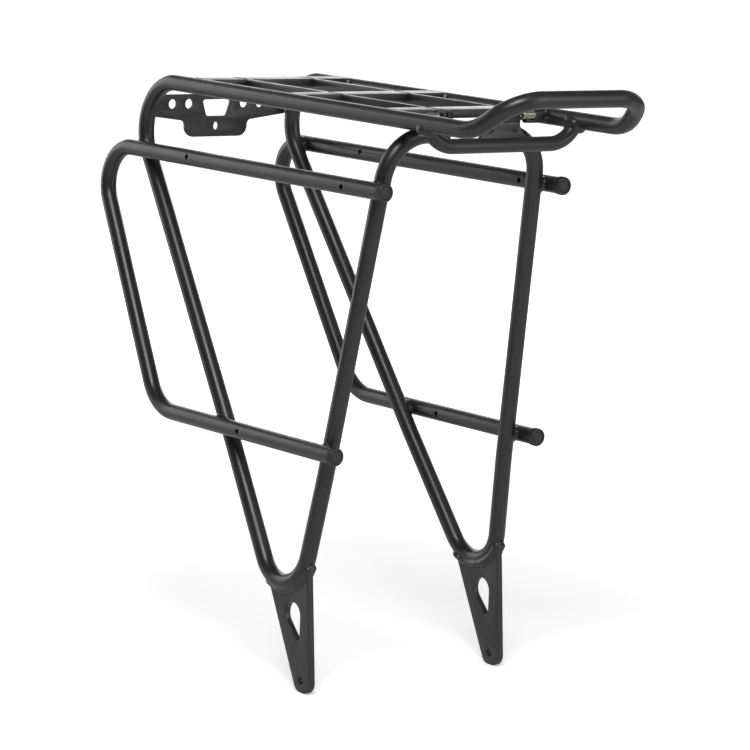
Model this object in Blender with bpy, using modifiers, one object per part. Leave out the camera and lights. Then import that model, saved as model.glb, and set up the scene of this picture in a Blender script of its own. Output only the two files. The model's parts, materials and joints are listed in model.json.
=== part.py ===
"""Bicycle rear rack: welded 12 mm tubes, a flat deck, two pannier hoops and two bolt-on feet.

Frame: +X points to the front of the bicycle, +Y to its left, +Z up. The origin lies midway
between the two foot bolts. All sizes below are in millimetres and are turned into metres
when a mesh is built.
"""
import math

import bmesh
import bpy
from mathutils import Matrix, Vector

MM = 0.001

# ---- tubes -----------------------------------------------------------------------------
TUBE = 12.0            # outside diameter of the frame tubes
CROSS_TUBE = 10.5      # outside diameter of the rear cross tube
WALL = 1.6             # wall of every tube
GAP = 0.3              # clearance that a weld bead fills
SIDES = 12             # sides of a round tube
BEND_STEP = math.radians(12)

# ---- deck ------------------------------------------------------------------------------
RAIL_Z = 404.3         # height of the rail centres over the foot bolts
RAIL_Y = 66.0          # rail centres from the middle plane
DECK_TOP = RAIL_Z + TUBE / 2
FRONT_BEND = 35.5      # centre-line radius where a rail turns down into a front leg
HANDLE_START_X = -138.4
HANDLE_X = -167.5      # centre of the raised rear handle
HANDLE_Z = 427.3
HANDLE_Y = 54.9
HANDLE_RISE_BEND = 37.0
HANDLE_BEND = 29.1

BAR_WIDTH = 21.0       # cross bars, measured along the bicycle
BAR_HEIGHT = 6.0
BAR_WALL = 2.0
BAR_X = {"front": 186.4, "middle": 66.9, "rear": -47.6}
SLAT_Y = 30.0
SLAT_WIDTH = 4.5
SLAT_HEIGHT = 8.0
LAP = 3.0              # depth of the half laps where slats and bars cross
LUG_DEPTH = 2.2        # thickness of the upright part of a slat lug
BRACKET_DEPTH = 5.0
BARREL_RADIUS = 2.9

# ---- legs and feet ---------------------------------------------------------------------
KNEE_Z = 150.0         # below this height the legs splay a little more
KNEE_Y = 80.3
SPLAY_UP = 0.062
SPLAY_DOWN = 0.086
FRONT_FOOT_X = -5.1    # front leg line carried down to the bolt height
FRONT_RAKE = 0.731     # forward run for each unit of height
REAR_FOOT_X = 14.7
REAR_RAKE = -0.158
FOOT_BEND = 28.7       # bend that joins both legs over a foot
LEG_JOINT_Z = 338.0    # joint between a front leg and the deck loop
FOOT_JOINT_Z = 86.0    # joint between a front leg and the bend over its foot
REAR_TOP_BEND = 32.5   # bend where a rear leg turns inward under the deck
REAR_TOP_Z = 392.0     # height of its level end
REAR_TOP_END_Y = 18.0

FOOT_Y = 85.7
FOOT_THICK = 5.0
FOOT_HOLE = 5.5
VENT_HOLE = 3.0
VENT_Z = 85.0

# ---- pannier hoops ---------------------------------------------------------------------
HOOP_TOP_Z = 354.9
HOOP_TOP_Y = 79.0
HOOP_SPLAY = 0.062
HOOP_TOP_END_X = -57.0
HOOP_FRONT_TOP = (307.4, 352.2)
HOOP_FRONT_LOW = (192.5, 164.3)
HOOP_LOW_END = (-29.5, 168.1)
HOOP_TOP_BEND = 28.0
HOOP_LOW_BEND = 36.9
HOOP_HOLE = 4.0
HOOP_TOP_HOLES_X = (174.0, -18.4)
HOOP_LOW_HOLE_X = 79.0
CAP_FLANGE = 13.2
CAP_LENGTH = 5.2
CAP_PLUG = 7.8
CAP_PLUG_LENGTH = 8.0

# ---- rear cross tube and tail-light plate ----------------------------------------------
CROSS_X = -86.6
CROSS_Z = 388.4
CROSS_RISE = math.radians(65)
CROSS_BEND = 25.0
TAIL_THICK = 3.0
TAIL_HOLE = 3.2

# ---- front stay plate ------------------------------------------------------------------
STAY_X = 263.1
STAY_THICK = 3.0
STAY_HALF = 64.5
STAY_TOP = 391.5
STAY_BOTTOM = 358.6
STAY_HOLE = 7.5
STAY_HOLES_Y = (25.3, 40.3)
STAY_HOLES_Z = 384.1

COATING = (0.028, 0.028, 0.031, 1.0)
PLASTIC = (0.018, 0.018, 0.019, 1.0)
STEEL = (0.35, 0.35, 0.36, 1.0)


def clear_scene():
    """Start from an empty file."""
    for item in list(bpy.data.objects):
        bpy.data.objects.remove(item, do_unlink=True)


def make_collection(name):
    """Make a collection under the scene."""
    group = bpy.data.collections.new(name)
    bpy.context.scene.collection.children.link(group)
    return group


def make_material(name, color, roughness, metallic):
    """One Principled material for one sub-part."""
    material = bpy.data.materials.new(name)
    material.use_nodes = True
    shader = material.node_tree.nodes["Principled BSDF"]
    shader.inputs["Base Color"].default_value = color
    shader.inputs["Roughness"].default_value = roughness
    shader.inputs["Metallic"].default_value = metallic
    material.diffuse_color = color
    return material


def coated(name):
    """Satin black coating over aluminium."""
    return make_material(name + "_coating", COATING, 0.42, 0.0)


def link(name, mesh, group, material, smooth):
    """Put a mesh into the scene under its own name."""
    item = bpy.data.objects.new(name, mesh)
    group.objects.link(item)
    mesh.materials.clear()
    mesh.materials.append(material)
    for face in mesh.polygons:
        face.use_smooth = smooth
    return item


# ---- outlines and paths ----------------------------------------------------------------

def arc_between(start, middle, end, count):
    """Points of the round arc from start to end about a centre."""
    first = start - middle
    last = end - middle
    turn = first.angle(last)
    points = []
    for step in range(count + 1):
        share = step / count
        a = math.sin((1 - share) * turn) / math.sin(turn)
        b = math.sin(share * turn) / math.sin(turn)
        points.append(middle + first * a + last * b)
    return points


def rounded(corners, radii, closed=False):
    """Follow straight runs between corners and round each corner to its radius."""
    corners = [Vector(corner) for corner in corners]
    total = len(corners)
    points = []
    for index, corner in enumerate(corners):
        radius = radii[index]
        if radius <= 0:
            points.append(corner)
            continue
        back = (corners[index - 1] - corner).normalized()
        ahead = (corners[(index + 1) % total] - corner).normalized()
        between = back.angle(ahead)
        reach = radius / math.tan(between / 2)
        middle = corner + (back + ahead).normalized() * radius / math.sin(between / 2)
        count = max(2, round((math.pi - between) / BEND_STEP))
        points += arc_between(corner + back * reach, middle, corner + ahead * reach, count)
    if not closed:
        assert radii[0] == 0 and radii[-1] == 0
    return points


def circle(middle, diameter, count):
    """A round hole as a closed outline in two dimensions."""
    radius = diameter / 2
    points = []
    for step in range(count):
        turn = 2 * math.pi * step / count
        points.append((middle[0] + radius * math.cos(turn), middle[1] + radius * math.sin(turn)))
    return points


def wrapped_circles(big, big_radius, small, small_radius, count):
    """Outline of a belt around two circles: a teardrop slot."""
    along = math.atan2(small[1] - big[1], small[0] - big[0])
    spread = math.acos((big_radius - small_radius) / math.dist(big, small))
    points = []
    for step in range(count + 1):
        turn = along + spread + (2 * math.pi - 2 * spread) * step / count
        points.append((big[0] + big_radius * math.cos(turn), big[1] + big_radius * math.sin(turn)))
    half = count // 2
    for step in range(half + 1):
        turn = along - spread + 2 * spread * step / half
        points.append((small[0] + small_radius * math.cos(turn),
                       small[1] + small_radius * math.sin(turn)))
    return points


# ---- solids ----------------------------------------------------------------------------

def weld_mesh(mesh):
    """Join doubled vertices and turn every face outward."""
    work = bmesh.new()
    work.from_mesh(mesh)
    bmesh.ops.remove_doubles(work, verts=work.verts, dist=1e-6)
    bmesh.ops.recalc_face_normals(work, faces=work.faces)
    work.to_mesh(mesh)
    work.free()


def path_mesh(name, path, diameter, capped):
    """Sweep a round section along a path."""
    curve = bpy.data.curves.new(name, "CURVE")
    curve.dimensions = "3D"
    curve.bevel_depth = diameter / 2 * MM
    curve.bevel_resolution = SIDES // 2 - 2
    curve.use_fill_caps = capped
    spline = curve.splines.new("POLY")
    spline.points.add(len(path) - 1)
    for point, place in zip(spline.points, path):
        point.co = (place[0] * MM, place[1] * MM, place[2] * MM, 1.0)
    holder = bpy.data.objects.new(name + "_curve", curve)
    mesh = bpy.data.meshes.new_from_object(holder)
    mesh.name = name
    bpy.data.objects.remove(holder, do_unlink=True)
    weld_mesh(mesh)
    return mesh


def hollow_tube(name, path, diameter, group):
    """A tube with open ends, walled inward from its outside diameter."""
    item = link(name, path_mesh(name, path, diameter, False), group, coated(name), True)
    wall = item.modifiers.new("wall", "SOLIDIFY")
    wall.thickness = WALL * MM
    wall.offset = -1
    wall.use_even_offset = True
    wall.use_rim = True
    return item


def flat_shape(name, outlines, thickness, place):
    """Cut a plate from closed outlines; the first is its edge and the rest are holes."""
    curve = bpy.data.curves.new(name, "CURVE")
    curve.dimensions = "2D"
    curve.fill_mode = "BOTH"
    curve.extrude = thickness / 2 * MM
    for outline in outlines:
        spline = curve.splines.new("POLY")
        spline.points.add(len(outline) - 1)
        spline.use_cyclic_u = True
        for point, spot in zip(spline.points, outline):
            point.co = (spot[0] * MM, spot[1] * MM, 0.0, 1.0)
    holder = bpy.data.objects.new(name + "_curve", curve)
    mesh = bpy.data.meshes.new_from_object(holder)
    mesh.name = name
    bpy.data.objects.remove(holder, do_unlink=True)
    weld_mesh(mesh)
    mesh.transform(place)
    return mesh


def facing(x_axis, y_axis, origin):
    """Placement whose own X and Y follow the two given directions."""
    x_axis = Vector(x_axis)
    y_axis = Vector(y_axis)
    place = Matrix.Identity(4)
    for row in range(3):
        place[row][0] = x_axis[row]
        place[row][1] = y_axis[row]
        place[row][2] = x_axis.cross(y_axis)[row]
        place[row][3] = origin[row] * MM
    return place


def side_plate(name, outlines, thickness, y):
    """A plate in a plane beside the wheel: outlines run along X and Z."""
    return flat_shape(name, outlines, thickness, facing((1, 0, 0), (0, 0, 1), (0, y, 0)))


def cross_plate(name, outlines, thickness, x):
    """A plate across the bicycle: outlines run along Y and Z."""
    return flat_shape(name, outlines, thickness, facing((0, 1, 0), (0, 0, 1), (x, 0, 0)))


def box_mesh(name, low, high):
    """A plain block between two corners."""
    mesh = bpy.data.meshes.new(name)
    work = bmesh.new()
    bmesh.ops.create_cube(work, size=1.0)
    for vertex in work.verts:
        for axis in range(3):
            share = vertex.co[axis] + 0.5
            vertex.co[axis] = (low[axis] + (high[axis] - low[axis]) * share) * MM
    work.to_mesh(mesh)
    work.free()
    return mesh


def turned_mesh(name, profile, count, place):
    """Turn a profile of (distance along, radius) points about the X axis."""
    mesh = bpy.data.meshes.new(name)
    work = bmesh.new()
    rings = []
    for along, radius in profile:
        ring = []
        for step in range(count):
            turn = 2 * math.pi * step / count
            spot = (along * MM, radius * MM * math.cos(turn), radius * MM * math.sin(turn))
            ring.append(work.verts.new(spot))
        rings.append(ring)
    for first, second in zip(rings, rings[1:]):
        for step in range(count):
            after = (step + 1) % count
            work.faces.new((first[step], second[step], second[after], first[after]))
    work.faces.new(rings[0])
    work.faces.new(rings[-1])
    bmesh.ops.recalc_face_normals(work, faces=work.faces)
    work.to_mesh(mesh)
    work.free()
    mesh.transform(place)
    return mesh


def rod_cutter(name, start, end, diameter, cutters):
    """A plain rod used to drill or cope other pieces."""
    mesh = path_mesh(name, [start, end], diameter, True)
    return link(name, mesh, cutters, make_material(name, (0.8, 0.2, 0.1, 1.0), 0.5, 0.0), False)


def cut(item, cutter):
    """Subtract a cutter, which stays editable beside the rack."""
    cutter.hide_render = True
    cutter.display_type = "WIRE"
    boolean = item.modifiers.new(cutter.name, "BOOLEAN")
    boolean.operation = "DIFFERENCE"
    boolean.solver = "EXACT"
    boolean.object = cutter


# ---- where the frame runs --------------------------------------------------------------

def leg_y(z):
    """Distance of a leg from the middle plane at one height."""
    slope = SPLAY_UP if z >= KNEE_Z else SPLAY_DOWN
    return KNEE_Y - slope * (z - KNEE_Z)


def front_leg_point(z, side):
    """Centre of a front leg at one height."""
    return (FRONT_FOOT_X + FRONT_RAKE * z, side * leg_y(z), z)


def rear_leg_point(z, side):
    """Centre of a rear leg at one height."""
    return (REAR_FOOT_X + REAR_RAKE * z, side * leg_y(z), z)


def foot_apex():
    """Height where the two leg lines would meet."""
    return (REAR_FOOT_X - FRONT_FOOT_X) / (FRONT_RAKE - REAR_RAKE)


def foot_bend_middle():
    """Centre of the bend over a foot, in X and Z."""
    z = foot_apex()
    apex = Vector((FRONT_FOOT_X + FRONT_RAKE * z, z))
    front = Vector((FRONT_RAKE, 1.0)).normalized()
    rear = Vector((REAR_RAKE, 1.0)).normalized()
    return apex + (front + rear).normalized() * FOOT_BEND / math.sin(front.angle(rear) / 2)


def hoop_point(x, z, side):
    """Centre of a pannier hoop in its tilted plane."""
    return (x, side * (HOOP_TOP_Y + HOOP_SPLAY * (HOOP_TOP_Z - z)), z)


# ---- sub-parts -------------------------------------------------------------------------

def deck_loop(group):
    """Both rails with the front bends and the raised handle, bent from one tube."""
    corner_z = RAIL_Z
    corner = (FRONT_FOOT_X + FRONT_RAKE * corner_z, RAIL_Y, corner_z)
    left = [front_leg_point(LEG_JOINT_Z, 1), corner,
            (HANDLE_START_X, RAIL_Y, RAIL_Z), (HANDLE_X, HANDLE_Y, HANDLE_Z)]
    right = [(x, -y, z) for x, y, z in reversed(left)]
    radii = [0, FRONT_BEND, HANDLE_RISE_BEND, HANDLE_BEND]
    path = rounded(left + right, radii + radii[::-1])
    return hollow_tube("deck_loop", path, TUBE, group)


def front_leg(side, word, group):
    """A front leg, from the deck loop down to the bend over its foot."""
    path = [front_leg_point(LEG_JOINT_Z - GAP, side), front_leg_point(KNEE_Z, side),
            front_leg_point(FOOT_JOINT_Z + GAP, side)]
    return hollow_tube(word + "_front_leg", path, TUBE, group)


def rear_leg_path(side):
    """Course of a rear leg, from the bend over the foot to the level end under the deck."""
    top_x = REAR_FOOT_X + REAR_RAKE * REAR_TOP_Z
    corners = [front_leg_point(FOOT_JOINT_Z, side),
               front_leg_point(foot_apex(), side),
               rear_leg_point(KNEE_Z, side),
               rear_leg_point(REAR_TOP_Z, side),
               (top_x, side * REAR_TOP_END_Y, REAR_TOP_Z)]
    return rounded(corners, [0, FOOT_BEND, 0, REAR_TOP_BEND, 0])


def rear_leg(side, word, group, cutters):
    """A rear leg with a vent hole low on its back."""
    item = hollow_tube(word + "_rear_leg", rear_leg_path(side), TUBE, group)
    x, y, z = rear_leg_point(VENT_Z, side)
    vent = rod_cutter(word + "_vent_drill", (x - 12, y, z), (x, y, z), VENT_HOLE, cutters)
    cut(item, vent)
    return item


def pannier_hoop(side, word, group, cutters):
    """An open hoop outside the legs that pannier hooks clip to."""
    corners = [hoop_point(HOOP_TOP_END_X, HOOP_TOP_Z, side),
               hoop_point(HOOP_FRONT_TOP[0], HOOP_FRONT_TOP[1], side),
               hoop_point(HOOP_FRONT_LOW[0], HOOP_FRONT_LOW[1], side),
               hoop_point(HOOP_LOW_END[0], HOOP_LOW_END[1], side)]
    path = rounded(corners, [0, HOOP_TOP_BEND, HOOP_LOW_BEND, 0])
    item = hollow_tube(word + "_pannier_hoop", path, TUBE, group)
    drills = [(x, HOOP_TOP_Z - 0.6) for x in HOOP_TOP_HOLES_X]
    drills.append((HOOP_LOW_HOLE_X, HOOP_LOW_END[1] - 1.4))
    for number, (x, z) in enumerate(drills):
        x, y, z = hoop_point(x, z, side)
        name = word + "_hoop_drill_%d" % number
        cut(item, rod_cutter(name, (x, y - 12, z), (x, y + 12, z), HOOP_HOLE, cutters))
    shoulder = (FRONT_FOOT_X + FRONT_RAKE * RAIL_Z, side * RAIL_Y, RAIL_Z)
    copes = {"front": (front_leg_point(KNEE_Z + 2, side), front_leg_point(LEG_JOINT_Z, side)),
             "rear": (rear_leg_point(KNEE_Z + 2, side), rear_leg_point(KNEE_Z + 215, side)),
             "shoulder": (front_leg_point(LEG_JOINT_Z - 8, side), shoulder)}
    for leg, ends in copes.items():
        name = word + "_hoop_cope_" + leg
        cut(item, rod_cutter(name, ends[0], ends[1], TUBE + 2 * GAP, cutters))
    return item


def end_cap(name, end, side, group):
    """A push-in plastic cap with a shallow groove around its face."""
    x, y, z = hoop_point(end[0], end[1], side)
    outer = CAP_FLANGE / 2
    profile = [(CAP_PLUG_LENGTH, CAP_PLUG / 2), (-GAP, CAP_PLUG / 2), (-GAP, outer),
               (-CAP_LENGTH + 1.0, outer), (-CAP_LENGTH, outer - 1.0),
               (-CAP_LENGTH, outer - 2.0), (-CAP_LENGTH + 0.6, outer - 2.4),
               (-CAP_LENGTH, outer - 2.8)]
    place = Matrix.Translation(Vector((x, y, z)) * MM)
    mesh = turned_mesh(name, profile, 16, place)
    return link(name, mesh, group, make_material(name + "_plastic", PLASTIC, 0.5, 0.0), False)


def foot_plate(side, word, group, cutters):
    """The dropout plate under a pair of legs, with its bolt hole and teardrop slot."""
    middle = foot_bend_middle()
    front_top = Vector((48.0, 72.0))
    rear_top = Vector((-2.5, 86.0))
    bottom = rounded([(rear_top.x, rear_top.y, 0), (-12.0, -8.6, 0), (5.8, -8.6, 0),
                      (front_top.x, front_top.y, 0)], [0, 8.4, 8.0, 0])
    crown = arc_between(front_top, middle, rear_top, 8)
    edge = [(spot.x, spot.y) for spot in bottom] + [(spot.x, spot.y) for spot in crown[1:-1]]
    slot = wrapped_circles((13.0, 45.5), 9.0, (6.7, 30.7), 2.8, 16)
    hole = circle((0.0, 0.0), FOOT_HOLE, 16)
    mesh = side_plate(word + "_foot_plate", [edge, slot, hole], FOOT_THICK, side * FOOT_Y)
    item = link(word + "_foot_plate", mesh, group, coated(word + "_foot_plate"), False)
    leg_run = [point for point in rear_leg_path(side) if point[2] < KNEE_Z - 20]
    leg_run.append(Vector(rear_leg_point(KNEE_Z - 20, side)))
    leg_run.insert(0, Vector(front_leg_point(KNEE_Z - 20, side)))
    name = word + "_foot_cope"
    cope = link(name, path_mesh(name, leg_run, TUBE + 2 * GAP + 0.2, True), cutters,
                make_material(name, (0.8, 0.2, 0.1, 1.0), 0.5, 0.0), False)
    cut(item, cope)
    return item


def stay_plate(group):
    """The drilled plate between the front bends that the seat-stay arms bolt to."""
    corners = [(0, STAY_BOTTOM), (28.6, STAY_BOTTOM), (28.6, 371.0), (STAY_HALF, 375.6),
               (STAY_HALF, STAY_TOP), (0, STAY_TOP)]
    mirrored = [(-y, z) for y, z in reversed(corners[1:-1])]
    loop = corners[:-1] + mirrored
    radii = [0, 8, 4, 1, 5, 5, 1, 4, 8]
    edge = [(spot.x, spot.y) for spot in
            rounded([(y, z, 0) for y, z in loop], radii, closed=True)]
    window = rounded([(-13.4, 387.2, 0), (-9.2, 374.5, 0), (9.2, 374.5, 0), (13.4, 387.2, 0)],
                     [2, 2, 2, 2], closed=True)
    eye = [(2.5 * math.cos(turn * math.pi / 6), 366.8 + 3.3 * math.sin(turn * math.pi / 6))
           for turn in range(12)]
    outlines = [edge, [(spot.x, spot.y) for spot in window], eye]
    for y in STAY_HOLES_Y:
        outlines.append(circle((y, STAY_HOLES_Z), STAY_HOLE, 16))
        outlines.append(circle((-y, STAY_HOLES_Z), STAY_HOLE, 16))
    mesh = cross_plate("stay_plate", outlines, STAY_THICK, STAY_X)
    return link("stay_plate", mesh, group, coated("stay_plate"), False)


def cross_bar(word, group, cutters):
    """A channel across the deck, coped to both rails and lapped for the slats."""
    x = BAR_X[word]
    half = BAR_WIDTH / 2
    low = DECK_TOP - BAR_HEIGHT
    inner = DECK_TOP - BAR_WALL
    section = [(-half, low), (-half + BAR_WALL, low), (-half + BAR_WALL, inner),
               (half - BAR_WALL, inner), (half - BAR_WALL, low), (half, low),
               (half, DECK_TOP), (-half, DECK_TOP)]
    place = facing((1, 0, 0), (0, 0, 1), (x, 0, 0))
    name = word + "_cross_bar"
    mesh = flat_shape(name, [section], 2 * RAIL_Y, place)
    item = link(name, mesh, group, coated(name), False)
    for side, hand in ((1, "left"), (-1, "right")):
        ends = ((x + 30, side * RAIL_Y, RAIL_Z), (x - 30, side * RAIL_Y, RAIL_Z))
        cut(item, rod_cutter(name + "_cope_" + hand, ends[0], ends[1], TUBE + 2 * GAP, cutters))
        reach = SLAT_WIDTH / 2 + GAP
        low_corner = (x - 20, side * SLAT_Y - reach, DECK_TOP - LAP)
        high_corner = (x + 20, side * SLAT_Y + reach, DECK_TOP + 5)
        lap = link(name + "_lap_" + hand, box_mesh(name + "_lap", low_corner, high_corner),
                   cutters, make_material(name + "_lap", (0.8, 0.2, 0.1, 1.0), 0.5, 0.0), False)
        cut(item, lap)
    return item


def slat(side, word, group):
    """A flat bar on edge along the deck, lapped over the three cross bars."""
    top = DECK_TOP
    bottom = DECK_TOP - SLAT_HEIGHT
    notch = DECK_TOP - LAP + GAP
    half = BAR_WIDTH / 2 + GAP
    outline = [(BAR_X["front"] + half - 2 * GAP, top), (BAR_X["front"] + half - 2 * GAP, notch)]
    outline += [(BAR_X["front"] - half, notch), (BAR_X["front"] - half, bottom)]
    outline += [(BAR_X["middle"] + half, bottom), (BAR_X["middle"] + half, notch)]
    outline += [(BAR_X["middle"] - half, notch), (BAR_X["middle"] - half, bottom)]
    outline += [(BAR_X["rear"] + half, bottom), (BAR_X["rear"] + half, notch)]
    outline += [(BAR_X["rear"] - half + GAP, notch), (BAR_X["rear"] - half + GAP, top)]
    name = word + "_slat"
    mesh = side_plate(name, [outline], SLAT_WIDTH, side * SLAT_Y)
    return link(name, mesh, group, coated(name), False)


def slat_lug(side, word, group, cutters):
    """A drilled and slit lug behind the rear cross bar that saddles a rear leg's end."""
    y = side * SLAT_Y
    back = BAR_X["rear"] - BAR_WIDTH / 2 - GAP
    shelf = DECK_TOP - BAR_HEIGHT - GAP
    low = REAR_TOP_Z + 4.5
    rear = back - LUG_DEPTH
    outline = [(rear, low), (rear, DECK_TOP - 0.4), (back, DECK_TOP - 0.4),
               (back, shelf), (back + 20.0, shelf), (back + 20.0, low)]
    name = word + "_slat_lug"
    mesh = side_plate(name, [outline], 14.0, y)
    item = link(name, mesh, group, coated(name), False)
    top_x = REAR_FOOT_X + REAR_RAKE * REAR_TOP_Z
    saddle = ((top_x, y - 15, REAR_TOP_Z), (top_x, y + 15, REAR_TOP_Z))
    cut(item, rod_cutter(name + "_saddle", saddle[0], saddle[1], TUBE + 2 * GAP, cutters))
    hole = (y + side * 3.6, DECK_TOP - 3.6)
    ends = ((back - 12, hole[0], hole[1]), (back + 2, hole[0], hole[1]))
    cut(item, rod_cutter(name + "_drill", ends[0], ends[1], 4.0, cutters))
    middle = y - side * 1.6
    low_corner = (back - 12, middle - 0.8, shelf + 0.8)
    high_corner = (back + 2, middle + 0.8, DECK_TOP - 1.9)
    slit = link(name + "_slit", box_mesh(name + "_slit", low_corner, high_corner), cutters,
                make_material(name + "_slit", (0.8, 0.2, 0.1, 1.0), 0.5, 0.0), False)
    cut(item, slit)
    return item


def clamp_bracket(side, word, group):
    """A small angle behind the rear cross bar that carries a barrel for a spring clip."""
    low = DECK_TOP - 9.9
    top = DECK_TOP - 2.2
    corners = [(40.0, low), (56.5, low), (56.5, top), (48.0, top), (48.0, low + 2.2),
               (40.0, low + 2.2)]
    depth = BRACKET_DEPTH
    x = BAR_X["rear"] - BAR_WIDTH / 2 - GAP - depth / 2
    name = word + "_clip_bracket"
    mesh = cross_plate(name, [[(side * y, z) for y, z in corners]], depth, x)
    return link(name, mesh, group, coated(name), False)


def clamp_barrel(side, word, group):
    """The barrel that sits in a clip bracket."""
    outer = BARREL_RADIUS
    profile = [(0.0, 1.2), (0.0, outer), (10.4, outer), (10.4, 1.2)]
    x = BAR_X["rear"] - BAR_WIDTH / 2 - GAP - outer
    origin = Vector((x, side * 37.3, DECK_TOP - 4.4)) * MM
    turn = Matrix.Rotation(side * math.pi / 2, 4, "Z")
    mesh = turned_mesh(word + "_clip_barrel", profile, 12, Matrix.Translation(origin) @ turn)
    material = make_material(word + "_clip_barrel_steel", STEEL, 0.35, 1.0)
    return link(word + "_clip_barrel", mesh, group, material, False)


def cross_tube(group, cutters):
    """The rear cross tube, bent up at both ends and coped to the rails."""
    run = (RAIL_Z - CROSS_Z) / math.tan(CROSS_RISE)
    half = RAIL_Y - run
    corners = [(CROSS_X, RAIL_Y, RAIL_Z), (CROSS_X, half, CROSS_Z),
               (CROSS_X, -half, CROSS_Z), (CROSS_X, -RAIL_Y, RAIL_Z)]
    path = rounded(corners, [0, CROSS_BEND, CROSS_BEND, 0])
    item = hollow_tube("rear_cross_tube", path, CROSS_TUBE, group)
    for side, hand in ((1, "left"), (-1, "right")):
        ends = ((CROSS_X + 30, side * RAIL_Y, RAIL_Z), (CROSS_X - 30, side * RAIL_Y, RAIL_Z))
        name = "cross_tube_cope_" + hand
        cut(item, rod_cutter(name, ends[0], ends[1], TUBE + 2 * GAP + 0.4, cutters))
    return item


def tail_light_plate(group):
    """The upright plate on the cross tube that a rear light bolts to."""
    low = CROSS_Z + CROSS_TUBE / 2
    corners = [(-20.2, low), (20.2, low), (15.2, low + 6.5), (13.2, low + 9.4),
               (-13.2, low + 9.4), (-15.2, low + 6.5)]
    edge = rounded([(y, z, 0) for y, z in corners], [0, 0, 2, 1, 1, 2], closed=True)
    outlines = [[(spot.x, spot.y) for spot in edge]]
    for y in (-10.6, 10.6):
        outlines.append(circle((y, low + 5.0), TAIL_HOLE, 12))
    mesh = cross_plate("tail_light_plate", outlines, TAIL_THICK, CROSS_X)
    return link("tail_light_plate", mesh, group, coated("tail_light_plate"), False)


def main():
    """Build the rack."""
    clear_scene()
    rack = make_collection("rear_rack")
    cutters = make_collection("rear_rack_cutters")
    deck_loop(rack)
    for side, word in ((1, "left"), (-1, "right")):
        front_leg(side, word, rack)
        rear_leg(side, word, rack, cutters)
        pannier_hoop(side, word, rack, cutters)
        end_cap(word + "_upper_end_cap", (HOOP_TOP_END_X, HOOP_TOP_Z), side, rack)
        end_cap(word + "_lower_end_cap", HOOP_LOW_END, side, rack)
        foot_plate(side, word, rack, cutters)
        slat(side, word, rack)
        slat_lug(side, word, rack, cutters)
        clamp_bracket(side, word, rack)
        clamp_barrel(side, word, rack)
    stay_plate(rack)
    for word in BAR_X:
        cross_bar(word, rack, cutters)
    cross_tube(rack, cutters)
    tail_light_plate(rack)


main()
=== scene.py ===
"""Studio scene of a bicycle rear rack: welded tubes with satin black powder coat.

Frame: +X points to the front of the bicycle, +Y to its left, +Z up. Lengths in the
constants are millimetres and are turned into metres when a mesh is built.
"""

import json
import math

import bmesh
import bpy
import numpy as np
from mathutils import Matrix, Vector

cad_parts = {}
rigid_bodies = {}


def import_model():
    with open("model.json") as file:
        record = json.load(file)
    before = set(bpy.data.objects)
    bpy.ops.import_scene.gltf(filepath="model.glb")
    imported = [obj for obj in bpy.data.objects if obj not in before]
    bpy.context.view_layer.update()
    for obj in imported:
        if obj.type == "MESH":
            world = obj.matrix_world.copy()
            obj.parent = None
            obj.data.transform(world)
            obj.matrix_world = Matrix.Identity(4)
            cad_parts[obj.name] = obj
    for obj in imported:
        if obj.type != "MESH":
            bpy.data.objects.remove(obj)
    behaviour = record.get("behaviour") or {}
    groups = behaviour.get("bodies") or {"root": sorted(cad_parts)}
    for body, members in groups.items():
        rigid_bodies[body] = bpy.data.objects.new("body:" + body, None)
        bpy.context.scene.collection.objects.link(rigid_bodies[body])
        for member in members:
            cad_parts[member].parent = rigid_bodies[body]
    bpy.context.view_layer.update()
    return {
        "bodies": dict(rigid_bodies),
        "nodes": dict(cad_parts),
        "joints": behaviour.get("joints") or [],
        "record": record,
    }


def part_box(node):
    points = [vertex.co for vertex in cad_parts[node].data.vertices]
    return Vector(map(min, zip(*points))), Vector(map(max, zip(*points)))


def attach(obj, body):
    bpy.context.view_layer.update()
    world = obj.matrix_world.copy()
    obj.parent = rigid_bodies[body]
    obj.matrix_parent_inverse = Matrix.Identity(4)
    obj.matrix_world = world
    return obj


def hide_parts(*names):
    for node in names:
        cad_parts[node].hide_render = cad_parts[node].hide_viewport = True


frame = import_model()

MM = 0.001

# ---- sizes shared with the frame -------------------------------------------------------
TUBE = 12.0
CROSS_TUBE = 10.5
WALL = 1.6
RAIL_Z = 404.3
RAIL_Y = 66.0
DECK_TOP = RAIL_Z + TUBE / 2
FRONT_BEND = 35.5
HANDLE_START_X = -138.4
HANDLE_X = -167.5
HANDLE_Z = 427.3
HANDLE_Y = 54.9
HANDLE_RISE_BEND = 37.0
HANDLE_BEND = 29.1
BAR_WIDTH = 21.0
BAR_HEIGHT = 6.0
BAR_WALL = 2.0
BAR_X = {"front": 186.4, "middle": 66.9, "rear": -47.6}
SLAT_Y = 30.0
SLAT_WIDTH = 4.5
SLAT_HEIGHT = 8.0
GAP = 0.3              # space left between the frame's touching solids
BAR_INSET = 3.2        # how far a cross bar ends inside a rail's centre
LUG_DEPTH = 2.2
LUG_WIDTH = 14.0
LUG_SHELF = 20.0       # length of the lug's foot over the rear leg's end
LUG_HOLE = 4.0
BRACKET_DEPTH = 5.0
BARREL_RADIUS = 2.9
BARREL_LENGTH = 10.4
BARREL_BORE = 1.2
KNEE_Z = 150.0
KNEE_Y = 80.3
KNEE_BEND = 260.0
SPLAY_UP = 0.062
SPLAY_DOWN = 0.086
FRONT_FOOT_X = -5.1
FRONT_RAKE = 0.731
REAR_FOOT_X = 14.7
REAR_RAKE = -0.158
FOOT_BEND = 28.7
LEG_JOINT_Z = 338.0
FOOT_JOINT_Z = 86.0
REAR_TOP_BEND = 32.5
REAR_TOP_Z = 392.0
REAR_TOP_END_Y = 18.0
FOOT_Y = 85.7
FOOT_THICK = 5.0
FOOT_HOLE = 5.5
FOOT_FRONT_TOP = (48.0, 72.0)
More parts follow.
